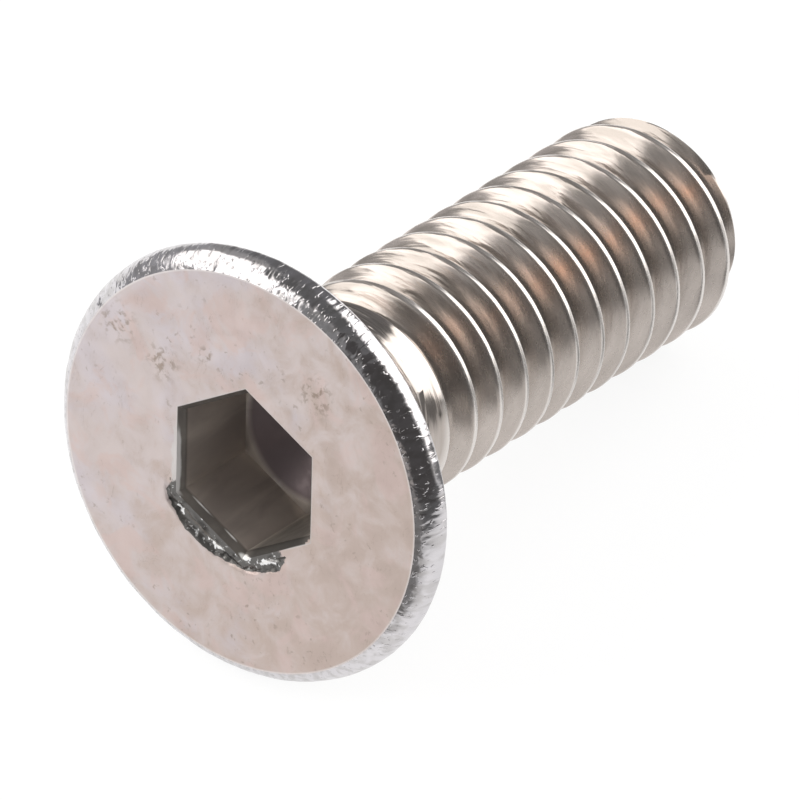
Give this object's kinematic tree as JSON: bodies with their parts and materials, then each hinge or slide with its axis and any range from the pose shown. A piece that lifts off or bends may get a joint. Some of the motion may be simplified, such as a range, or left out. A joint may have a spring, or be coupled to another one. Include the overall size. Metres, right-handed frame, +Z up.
{
  "type": "countersunk socket screw",
  "caption": "Countersunk hex socket screw: flat 90 degree conical head with a hexagon socket, short plain neck, right-hand thread and chamfered end, lying on its side.",
  "frame": {"origin": "centre of the bounding box, on the surface that the screw lies on", "axes": "+Z up, +Y from the head towards the threaded end, head facing -Y"},
  "size_m": [0.0076, 0.0124, 0.0075],
  "materials": {
    "steel": "tumbled bright steel, matte mottled face"
  },
  "bodies": {
    "root": {"screw": "steel"}
  },
  "joints": []
}
